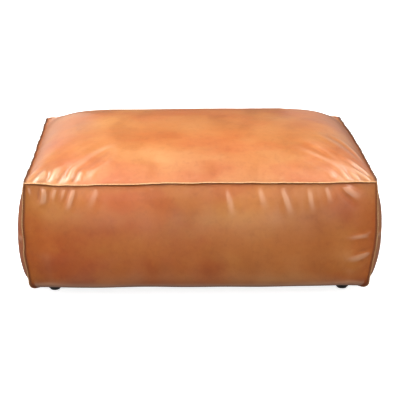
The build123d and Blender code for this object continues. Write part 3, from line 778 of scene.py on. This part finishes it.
def shell(name, grid, edges, materials):
    """A closed leather panel: outer grid, inner grid, and lips or a plain edge round its rim.

    edges lists the rim's points in turn: an empty list for a plain edge, or (seam, index, sign) of
    each seam whose lip starts there. Materials are the outside, the cut edge and the flesh side.
    """
    m, n = grid.shape[:2]
    normal = normals(grid)
    loop = [(i, 0) for i in range(m - 1)] + [(m - 1, j) for j in range(n - 1)]
    loop += [(i, n - 1) for i in range(m - 1, 0, -1)] + [(0, j) for j in range(n - 1, 0, -1)]
    outer = grid.copy()
    inner = grid - LEATHER * normal
    rows = []
    for (i, j), found in zip(loop, edges):
        ring = None
        if found:
            ring, outer[i, j], inner[i, j] = lip_ring(grid[i, j], found)
        rows.append(ring)
    points = [tuple(p) for p in outer.reshape(-1, 3)] + [tuple(p) for p in inner.reshape(-1, 3)]
    count = m * n
    index = np.arange(count).reshape(m, n)
    quads = quads_of(index)
    faces = quads.tolist() + (quads[:, ::-1] + count).tolist()
    kinds = [0] * len(quads) + [2] * len(quads)
    raw, dark = {}, {}
    chains = []
    for (i, j), ring, found in zip(loop, rows, edges):
        a = int(index[i, j])
        if ring is None:
            chains.append([a, a + count])
            continue
        ids = list(range(len(points), len(points) + len(ring)))
        points += [tuple(p) for p in ring]
        painted_edge_shade = max(seam["painted_edge_shade"][k] for seam, k, sign in found)
        for k, rawness, share in zip(ids, LIP_RAW, LIP_EDGE_SHADE):
            raw[k] = rawness
            dark[k] = painted_edge_shade * share
        chains.append([a] + ids + [a + count])
    for one, two in zip(chains, chains[1:] + chains[:1]):
        if len(one) == len(two):
            for r in range(len(one) - 1):
                faces.append([two[r], one[r], one[r + 1], two[r + 1]])
                edge_face = len(one) > 2 and r in LIP_EDGE_ROWS
                kinds.append(1 if edge_face else (2 if r > LIP_EDGE_ROWS[-1] or len(one) == 2 else 0))
        else:
            faces.append([two[0], one[0], one[-1], two[-1]])
            faces.append(one[::-1] if len(one) > 2 else two)
            kinds += [0, 1]
    piece = new_object(name, points, faces, materials)
    mesh = piece.data
    mesh.polygons.foreach_set("material_index", kinds)
    mesh.polygons.foreach_set("use_smooth", [True] * len(mesh.polygons))
    mesh.set_sharp_from_angle(angle=SHELL_CREASE)
    lift, away = np.zeros(len(points)), np.zeros(len(points))
    lift[:count] = relief(grid, normal).ravel()
    away[:count] = seam_distance(grid, edges, loop).ravel()
    away[count:2 * count] = FAR
    add_attribute(mesh, "raw", [raw.get(k, 0.0) for k in range(len(points))])
    add_attribute(mesh, "painted_edge_shade", [dark.get(k, 0.0) for k in range(len(points))])
    add_attribute(mesh, "relief", lift)
    add_attribute(mesh, "away", away)
    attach(piece, "root")
    return piece


def capsule(start, end, lift):
    """Points and faces of one stitch, which dips into the leather at both ends."""
    ahead = unit(end - start)
    sideways = np.cross(ahead, lift)
    points, faces = [], []
    for at, size, height in STITCH_PROFILE:
        centre = start + (end - start) * at + lift * STITCH_RADIUS * height
        for turn in range(STITCH_SIDES):
            angle = 2 * math.pi * turn / STITCH_SIDES
            spoke = sideways * math.cos(angle) + lift * math.sin(angle)
            points.append(tuple(centre + spoke * STITCH_RADIUS * size))
    for first in range(0, len(points) - STITCH_SIDES, STITCH_SIDES):
        for turn in range(STITCH_SIDES):
            a = first + turn
            b = first + (turn + 1) % STITCH_SIDES
            faces.append((a, a + STITCH_SIDES, b + STITCH_SIDES, b))
    faces.append(tuple(range(STITCH_SIDES)))
    faces.append(tuple(range(len(points) - STITCH_SIDES, len(points)))[::-1])
    return points, faces


def stitch_line(seam):
    """Start, end and outward direction of every stitch on both faces of a seam's lips."""
    out, across = seam["out"], seam["across"]
    up = (seam["height"] * STITCH_UP)[:, None]
    step = np.linalg.norm(np.diff(seam["p"], axis=0), axis=1)
    run = np.concatenate([[0], np.cumsum(step)])
    starts = np.arange(STITCH_MARGIN, run[-1] - STITCH_MARGIN, STITCH_PITCH)
    lean = (seam["lean"] * STITCH_UP ** 2)[:, None]
    for sign in (1, -1):
        face = seam["p"] + out * up + across * (sign * LEATHER * STITCH_OUT + lean)
        for at in starts:
            start, end = [
                np.array([np.interp(x, run, face[:, c]) for c in range(3)])
                for x in (at, at + STITCH_LENGTH)
            ]
            yield start, end, unit(across[np.searchsorted(run, at)] * sign)


def stitches(name, seams, node):
    """All the stitches of some seams as one piece, standing for a CAD node."""
    points, faces = [], []
    for seam in seams:
        for start, end, lift in stitch_line(seam):
            more, quads = capsule(start, end, lift)
            faces += [tuple(k + len(points) for k in quad) for quad in quads]
            points += more
    piece = new_object(name, points, faces, (finishes["thread"],))
    piece.data.polygons.foreach_set("use_smooth", [True] * len(piece.data.polygons))
    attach(piece, "root")
    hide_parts(node)


# ---------- materials

class Shading:
    """A new material, and short calls that add nodes to it and return their outputs."""

    def __init__(self, name):
        self.material = bpy.data.materials.new(name)
        self.material.use_nodes = True
        self.nodes = self.material.node_tree.nodes
        self.links = self.material.node_tree.links
        self.shader = self.nodes["Principled BSDF"]

    def put(self, socket, value):
        """Links another node's output to a socket, or sets a plain value on it."""
        if hasattr(value, "links"):
            self.links.new(value, socket)
        else:
            socket.default_value = value

    def finish(self, **inputs):
        """Sets inputs of the shader. An underscore in a name stands for a space."""
        for name, value in inputs.items():
            self.put(self.shader.inputs[name.replace("_", " ")], value)

    def add(self, kind, inputs, **settings):
        node = self.nodes.new("ShaderNode" + kind)
        for name, value in settings.items():
            setattr(node, name, value)
        for key, value in inputs.items():
            self.put(node.inputs[key], value)
        return node

    def place(self, scale=(1, 1, 1), shift=(0, 0, 0)):
        """The place on the object, scaled and shifted."""
        place = self.add("TexCoord", {}).outputs["Object"]
        return self.add("Mapping", {"Vector": place, "Scale": scale, "Location": shift}).outputs["Vector"]

    def attribute(self, name):
        return self.add("Attribute", {}, attribute_name=name).outputs["Fac"]

    def noise(self, vector, scale, detail=4, rough=0.55, distort=0.0):
        inputs = {"Scale": scale, "Detail": detail, "Roughness": rough, "Distortion": distort}
        return self.add("TexNoise", {"Vector": vector, **inputs}).outputs["Fac"]

    def cells(self, vector, scale, width):
        """Nothing along the borders of random cells, rising to 1 at a share of a cell inside."""
        node = self.add("TexVoronoi", {"Vector": vector, "Scale": scale}, feature="DISTANCE_TO_EDGE")
        return self.remap(node.outputs["Distance"], 0.0, width)

    def warp(self, vector, scale, amount):
        """The vector, pushed about by a noise of its own position."""
        noise = self.add("TexNoise", {"Vector": vector, "Scale": scale, "Detail": 4, "Roughness": 0.6})
        colour = noise.outputs["Color"]
        centred = self.add("VectorMath", {0: colour, 1: (0.5, 0.5, 0.5)}, operation="SUBTRACT").outputs[0]
        inputs = {0: centred, 1: (amount, amount, amount), 2: vector}
        return self.add("VectorMath", inputs, operation="MULTIPLY_ADD").outputs[0]

    def remap(self, value, low, high, to_low=0.0, to_high=1.0):
        """A smooth step of the value between low and high."""
        inputs = {"Value": value, "From Min": low, "From Max": high, "To Min": to_low, "To Max": to_high}
        return self.add("MapRange", inputs, interpolation_type="SMOOTHSTEP").outputs[0]

    def times(self, a, b):
        return self.add("Math", {0: a, 1: b}, operation="MULTIPLY").outputs[0]

    def plus(self, a, b):
        return self.add("Math", {0: a, 1: b}, operation="ADD").outputs[0]

    def mix(self, factor, a, b, blend="MIX"):
        """Colour a mixed with colour b. 6, 7 and 2 are the Mix node's colour sockets."""
        a, b = [c if hasattr(c, "links") else (*c, 1) for c in (a, b)]
        return self.add("Mix", {0: factor, 6: a, 7: b}, data_type="RGBA", blend_type=blend).outputs[2]

    def ramp(self, value, stops):
        """The value as a colour, eased between stops."""
        node = self.add("ValToRGB", {"Fac": value})
        node.color_ramp.interpolation = "EASE"
        elements = node.color_ramp.elements
        while len(elements) < len(stops):
            elements.new(0.5)
        for element, (at, colour) in zip(elements, stops):
            element.position = at
            element.color = (*colour, 1)
        return node.outputs["Color"]

    def bump(self, height, distance):
        """Gives the shader a bump."""
        node = self.add("Bump", {"Strength": 0.5, "Distance": distance, "Height": height})
        self.finish(Normal=node.outputs["Normal"])


def leather_material(name, shift, painted_panel_light, tone_and_light_patches):
    """Waxed hide: mottled tan, with painted light and shade laid over it.

    Ridges are paler and valleys darker, partly the pull-up and partly painted highlight and shade.
    Painted shade darkens it near the floor, beside the seams and on some cut edges.
    """
    t = Shading(name)
    position = t.place()
    vector = t.place(shift=shift)
    patches = t.noise(vector, *PATCH_NOISE)
    clouds = t.noise(t.place(CLOUD_STRETCH, shift), *CLOUD_NOISE)
    colour = t.mix(MOTTLE_SHARE, t.ramp(clouds, HIDE), t.ramp(patches, MOTTLE), "MULTIPLY")
    # painted light and shade of the panel
    colour = t.mix(1.0, colour, painted_panel_light, "MULTIPLY")
    warped = t.warp(position, *TONE_PATCH_WARP)
    # patches of the hide's own tone, and of painted sheen, highlights and shade
    for centre, radius, shade in tone_and_light_patches:
        place, reach = np.array(centre) / 1000, radius / 1000
        gap = t.add("VectorMath", {0: warped, 1: place}, operation="DISTANCE").outputs["Value"]
        near = t.remap(gap, TONE_PATCH_CORE * reach, reach, 1.0, 0.0)
        colour = t.mix(near, colour, np.array(shade) / 100, "MULTIPLY")
    flecks = t.ramp(t.noise(vector, *FLECK_NOISE), FLECKS)
    colour = t.mix(FLECK_SHARE, colour, flecks, "MULTIPLY")
    height = t.add("SeparateXYZ", {0: position}).outputs["Z"]
    lift = t.attribute("relief")
    for amount, (shade, share), blend in (
        # painted shade towards the floor
        (t.remap(height, *FLOOR_SHADE_SPAN, 1.0, 0.0), FLOOR_PAINTED_SHADE, "MULTIPLY"),
        # paler ridges: partly the pull-up leather, partly a painted highlight
        (t.remap(lift, *RIDGE_SPAN), RIDGE_PULL_UP_AND_HIGHLIGHT, "MIX"),
        # darker valleys: partly the pull-up leather, partly painted shade
        (t.remap(t.times(lift, -1.0), *VALLEY_SPAN), VALLEY_PULL_UP_AND_SHADE, "MIX"),
        # painted shade beside the seams
        (t.remap(t.attribute("away"), *SEAM_SHADE_SPAN, 1.0, 0.0), SEAM_PAINTED_SHADE, "MIX"),
        (t.attribute("raw"), RAW_TAN, "MIX"),
        # painted shade on the cut edges
        (t.attribute("painted_edge_shade"), (EDGE_SHADE_BROWN, 1.0), "MIX"),
    ):
        colour = t.mix(t.times(amount, share), colour, shade, blend)
    rough = t.remap(patches, *HIDE_ROUGHNESS)
    t.finish(Base_Color=colour, Roughness=rough)
    t.finish(Specular_IOR_Level=0.80, Coat_Weight=0.65, Coat_Roughness=0.20)
    grain = t.times(t.cells(vector, *GRAIN_CELLS), GRAIN_HEIGHT)
    creases = t.times(t.cells(t.warp(vector, *CREASE_WARP), *CREASE_CELLS), CREASE_HEIGHT)
    swells = t.times(t.noise(vector, *SWELL_NOISE), SWELL_HEIGHT)
    t.bump(t.plus(t.plus(grain, creases), swells), HIDE_BUMP)
    return t.material


def simple_material(name, dark, light, scale, roughness, metallic=0.0, stretch=(1, 1, 1), painted_edge_shade=False):
    """A mottled finish between two tones, with a bump. Where asked, it takes painted shade from a mesh
    attribute.
    """
    t = Shading(name)
    vector = t.place(stretch)
    colour = t.ramp(t.noise(vector, scale, 6, 0.6), ((0.35, dark), (0.65, light)))
    if painted_edge_shade:
        # painted shade on the cut edges
        colour = t.mix(t.attribute("painted_edge_shade"), colour, EDGE_SHADE_BROWN)
    fine = t.noise(vector, scale * 4, 6, 0.65)
    rough = t.remap(fine, 0.3, 0.7, roughness * 0.85, roughness * 1.15)
    t.finish(Base_Color=colour, Roughness=rough, Metallic=metallic)
    t.bump(fine, 0.0005)
    return t.material


# The cut edges take painted shade where the lips ask for it
raw_edge = simple_material("raw_edge", (0.62, 0.30, 0.12), (0.86, 0.52, 0.27), 300, 0.75, painted_edge_shade=True)
flesh = simple_material("flesh_side", (0.40, 0.20, 0.09), (0.55, 0.30, 0.15), 220, 0.9)
finishes = {
    row[0]: simple_material(*row)
    for row in (
        ("thread", (0.10, 0.035, 0.014), (0.20, 0.075, 0.03), 900, 0.6),
        ("batting", (0.78, 0.77, 0.74), (0.92, 0.91, 0.88), 90, 0.95),
        ("ticking", (0.74, 0.71, 0.63), (0.86, 0.83, 0.76), 500, 0.85),
        ("foam", (0.78, 0.70, 0.45), (0.88, 0.82, 0.58), 700, 0.95),
        ("insulator", (0.34, 0.26, 0.17), (0.58, 0.48, 0.34), 260, 0.95),
        ("spring_steel", (0.16, 0.16, 0.17), (0.30, 0.30, 0.31), 200, 0.35, 1.0),
        ("zinc_steel", (0.55, 0.55, 0.54), (0.70, 0.70, 0.68), 300, 0.3, 1.0),
        ("pine", (0.62, 0.42, 0.22), (0.80, 0.62, 0.40), 18, 0.6, 0.0, (0.12, 1.6, 1.6)),
        ("foot_lacquer", (0.010, 0.009, 0.008), (0.020, 0.017, 0.015), 60, 0.32),
        ("felt", (0.03, 0.03, 0.03), (0.07, 0.065, 0.06), 500, 0.95),
        ("dust_cover_cloth", (0.012, 0.012, 0.013), (0.03, 0.03, 0.032), 800, 0.9),
    )
}


def paint_cad_nodes():
    """Gives each CAD node the finish of its material slot."""
    slots = {row["node"]: row["material_slot"] for row in frame["record"]["subparts"]}
    for name, node in frame["nodes"].items():
        finish, materials = finishes.get(slots[name]), node.data.materials
        if finish:
            if not materials:
                materials.append(finish)
            for k in range(len(materials)):
                materials[k] = finish


# ---------- fill and cloths

def closed_pad(name, outer, back, slot_name, node):
    """A closed solid between two equal grids, standing for a CAD node."""
    count = outer.shape[0] * outer.shape[1]
    index = np.arange(count).reshape(outer.shape[:2])
    quads = quads_of(index)
    faces = quads.tolist() + (quads[:, ::-1] + count).tolist()
    loop = list(index[:, 0][:-1]) + list(index[-1, :][:-1])
    loop += list(index[::-1, -1][:-1]) + list(index[0, ::-1][:-1])
    for a, b in zip(loop, loop[1:] + loop[:1]):
        faces.append([int(b), int(a), int(a) + count, int(b) + count])
    points = np.concatenate([outer.reshape(-1, 3), back.reshape(-1, 3)]).tolist()
    piece = new_object(name, points, faces, (finishes[slot_name],))
    piece.data.polygons.foreach_set("use_smooth", [True] * len(faces))
    piece.data.set_sharp_from_angle(angle=PAD_CREASE)
    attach(piece, "root")
    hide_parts(node)
    return piece


def rounded_slab(node, cells, edge, seed):
    """Upper and lower grids of a slab in a CAD node's box, with a rounded rim."""
    low, high = [np.array(corner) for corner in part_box(node)]
    u, v = graded(cells[0]), graded(cells[1])
    half, middle = (high - low) / 2, (high + low) / 2
    x, y = np.meshgrid(u * half[0], v * half[1], indexing="ij")
    inside = np.minimum(half[0] - np.abs(x), half[1] - np.abs(y))
    t = np.clip(inside / edge, 0, 1)
    rise = half[2] - edge * (1 - np.sqrt(1 - (1 - t) ** 2))
    flat = np.stack([x + middle[0], y + middle[1], np.full_like(x, middle[2])], -1)
    bumps = SLAB_LUMPS * waves(flat, SLAB_LUMP_LENGTH, seed) * smooth(t)
    upper, lower = flat.copy(), flat.copy()
    upper[..., 2] += rise - np.abs(bumps)
    lower[..., 2] -= rise
    return upper, lower


def add_topper(top_points):
    """The feather topper follows the top panel and is sewn into channels."""
    low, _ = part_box("feather_topper")
    outer = top_points - TOPPER_UNDER * normals(top_points)
    outer[..., :2] *= 1 - TOPPER_SHRINK / np.array((HALF_X, HALF_Y))
    along = np.abs(((outer[..., 0] + HALF_X) / CHANNEL_SPACING) % 1 - 0.5) * CHANNEL_SPACING
    channel = np.exp(-(along / CHANNEL_WIDTH) ** 2)
    fade = 1 - np.abs(outer[..., :2] / (HALF_X, HALF_Y)) ** CHANNEL_FADE_POWER
    outer[..., 2] -= CHANNEL_DEPTH * channel * (fade[..., 0] * fade[..., 1])
    back = outer.copy()
    back[..., 2] = low[2]
    topper = closed_pad("feather_topper_pad", outer, back, "ticking", "feather_topper")


def add_wrap(k, grid):
    """A fibre wrap follows its side panel and is flat against the frame."""
    node = "fibre_wrap_" + SIDE_NAMES[k]
    low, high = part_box(node)
    heights = grid[..., 2]
    inside = (heights.min(0) > low[2] + WRAP_ABOVE) & (heights.max(0) < high[2])
    grid = grid[:, inside]
    outer = grid - WRAP_UNDER * normals(grid)
    outer -= ALONG[k] * (graded(grid.shape[0] - 1) * WRAP_SHRINK)[:, None, None]
    reach = (outer @ ALONG[k])[..., None] * (1 - WRAP_DEPTH / HALVES[k])
    back = ALONG[k] * reach + OUT[k] * (DISTANCES[k] - WRAP_DEPTH) + UP * outer[..., 2:]
    wrap = closed_pad(node + "_pad", outer, back, "batting", node)


def add_dust_cover():
    """The dust cover: stretched, with a turned edge and a slight sag."""
    low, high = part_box("dust_cover")
    size = high - low
    u, v = graded(COVER_CELLS[0]), graded(COVER_CELLS[1])
    x, y = np.meshgrid(u * size.x / 2, v * size.y / 2, indexing="ij")
    inside = np.minimum(size.x / 2 - np.abs(x), size.y / 2 - np.abs(y))
    upper = np.stack([x, y, np.full_like(x, high.z)], -1)
    sag = COVER_SAG * smooth((inside - COVER_SAG_FROM) / COVER_SAG_OVER)
    sag = sag + uneven(upper, COVER_RIPPLE) * smooth(inside / COVER_RIPPLE_REACH)
    lower = upper.copy()
    lower[..., 2] -= sag + size.z * (1 + smooth((COVER_TURNED - inside) / COVER_TURN))
    upper[..., 2] -= sag
    cover = closed_pad("dust_cover_sheet", upper, lower, "dust_cover_cloth", "dust_cover")


def add_inner_pieces(top_points, side_points):
    """The fill and the cloths, fitted inside the cover."""
    add_topper(top_points)
    slab = rounded_slab("foam_core", *FOAM)
    foam = closed_pad("foam_core_block", *slab, "foam", "foam_core")
    for k, grid in enumerate(side_points):
        add_wrap(k, grid[:, len(HEM_INSETS):])
    slab = rounded_slab("insulator_pad", *INSULATOR)
    insulator = closed_pad("insulator_sheet", *slab, "insulator", "insulator_pad")
    add_dust_cover()


# ---------- stage

def add_stage(name, points, faces, glow):
    """A plain white surface, which glows fully beyond a few metres."""
    t = Shading(name)
    length = t.add("VectorMath", {0: t.place()}, operation="LENGTH").outputs["Value"]
    strength = t.remap(length, STAGE_GLOW_FROM, STAGE_GLOW_FULL, glow, 1.0)
    t.finish(Base_Color=STAGE_WHITE, Roughness=0.9, Specular_IOR_Level=0.0)
    t.finish(Emission_Color=(1, 1, 1, 1), Emission_Strength=strength)
    surface = new_object(name, points, faces, (t.material,))
    surface.visible_diffuse = False
    surface.visible_glossy = False
    return surface


def set_stage():
    """The camera at the photo's angle, soft lights, a white floor and a backdrop."""
    scene = bpy.context.scene
    data = bpy.data.cameras.new("camera")
    data.sensor_width = SENSOR
    data.lens = LENS
    data.shift_x = SHIFT_X
    camera = bpy.data.objects.new("camera", data)
    camera.location = CAMERA_AT
    camera.rotation_euler = (math.radians(90 - CAMERA_DOWN), 0, math.radians(CAMERA_TURN))
    scene.collection.objects.link(camera)
    scene.camera = camera

    for name, at, size, power, target, glossy in LIGHTS:
        lamp = bpy.data.lights.new(name, "AREA")
        lamp.shape = "RECTANGLE"
        lamp.size, lamp.size_y = size
        lamp.energy = power
        lamp_object = bpy.data.objects.new(name, lamp)
        lamp_object.location = at
        aim = Vector(target) - Vector(at)
        lamp_object.rotation_euler = aim.to_track_quat("-Z", "Y").to_euler()
        lamp_object.visible_glossy = glossy
        scene.collection.objects.link(lamp_object)

    world = bpy.data.worlds.new("world")
    scene.world = world
    world.use_nodes = True
    background = world.node_tree.nodes["Background"]
    background.inputs["Color"].default_value = (1, 1, 1, 1)
    background.inputs["Strength"].default_value = WORLD_LIGHT

    corners = [(-FLOOR, -FLOOR, 0), (FLOOR, -FLOOR, 0), (FLOOR, FLOOR, 0), (-FLOOR, FLOOR, 0)]
    add_stage("floor", corners, [(0, 1, 2, 3)], FLOOR_GLOW)
    turns = [2 * math.pi * k / WALL_SIDES for k in range(WALL_SIDES)]
    wall = [(WALL * math.cos(a), WALL * math.sin(a), z) for z in (WALL_FOOT, WALL) for a in turns]
    after = [(k + 1) % WALL_SIDES for k in range(WALL_SIDES)]
    faces = [(k, n, WALL_SIDES + n, WALL_SIDES + k) for k, n in enumerate(after)]
    backdrop = add_stage("backdrop", wall, faces, 1.0)
    backdrop.visible_shadow = False
    scene.view_settings.view_transform = "Standard"
    scene.view_settings.look = "None"


# ---------- building

def edges_of(parts):
    """The rim's entries in loop order. A corner takes the seams on both its sides."""
    rim = []
    for k, part in enumerate(parts):
        before = parts[k - 1]
        for n, entry in enumerate(part[:-1]):
            found = [entry] if entry else []
            if n == 0 and before[-1]:
                found.append(before[-1])
            rim.append(found)
    return rim


def entries(seam, sign, plain=0):
    """A rim entry for each point of a seam, after some with a plain edge."""
    return [None] * plain + [(seam, k, sign) for k in range(len(seam["p"]))]


def add_panel(n, grid, parts):
    """One panel of the cover, from its grid and the four sides of its rim."""
    shift = [step * PANEL_NAMES.index(n) for step in PANEL_SHIFT]
    leather = leather_material("leather_" + n, shift, PAINTED_PANEL_LIGHT[n], TONE_AND_LIGHT_PATCHES.get(n, ()))
    panel = shell("leather_%s_panel" % n, grid, edges_of(parts), (leather, raw_edge, flesh))
    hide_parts("leather_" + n)


top = top_grid()
sides = [side_grid(k) for k in range(4)]
top, sides = relax(top, sides)
fine_top = refined(top)
fine_sides = [refined(grid) for grid in sides]
hem_points = 2 * len(HEM_INSETS)

top_seams = [lips_of("top", k, fine_sides[k][:, -1]) for k in range(4)]
upright_seams = [lips_of("upright", k, fine_sides[k][-1, hem_points:]) for k in range(4)]
add_panel("top", fine_top, [entries(seam, 1) for seam in top_seams])
for k, grid in enumerate(fine_sides):
    add_panel(SIDE_NAMES[k], grid, [
        [None] * grid.shape[0],
        entries(upright_seams[k], -1, hem_points),
        entries(flipped(top_seams[k]), -1),
        entries(upright_seams[k - 1], 1, hem_points)[::-1],
    ])
stitches("top_seam_stitches", top_seams, "top_seam_thread")
stitches("corner_seam_stitches", upright_seams, "corner_seam_thread")
add_inner_pieces(top, sides)
paint_cad_nodes()
set_stage()
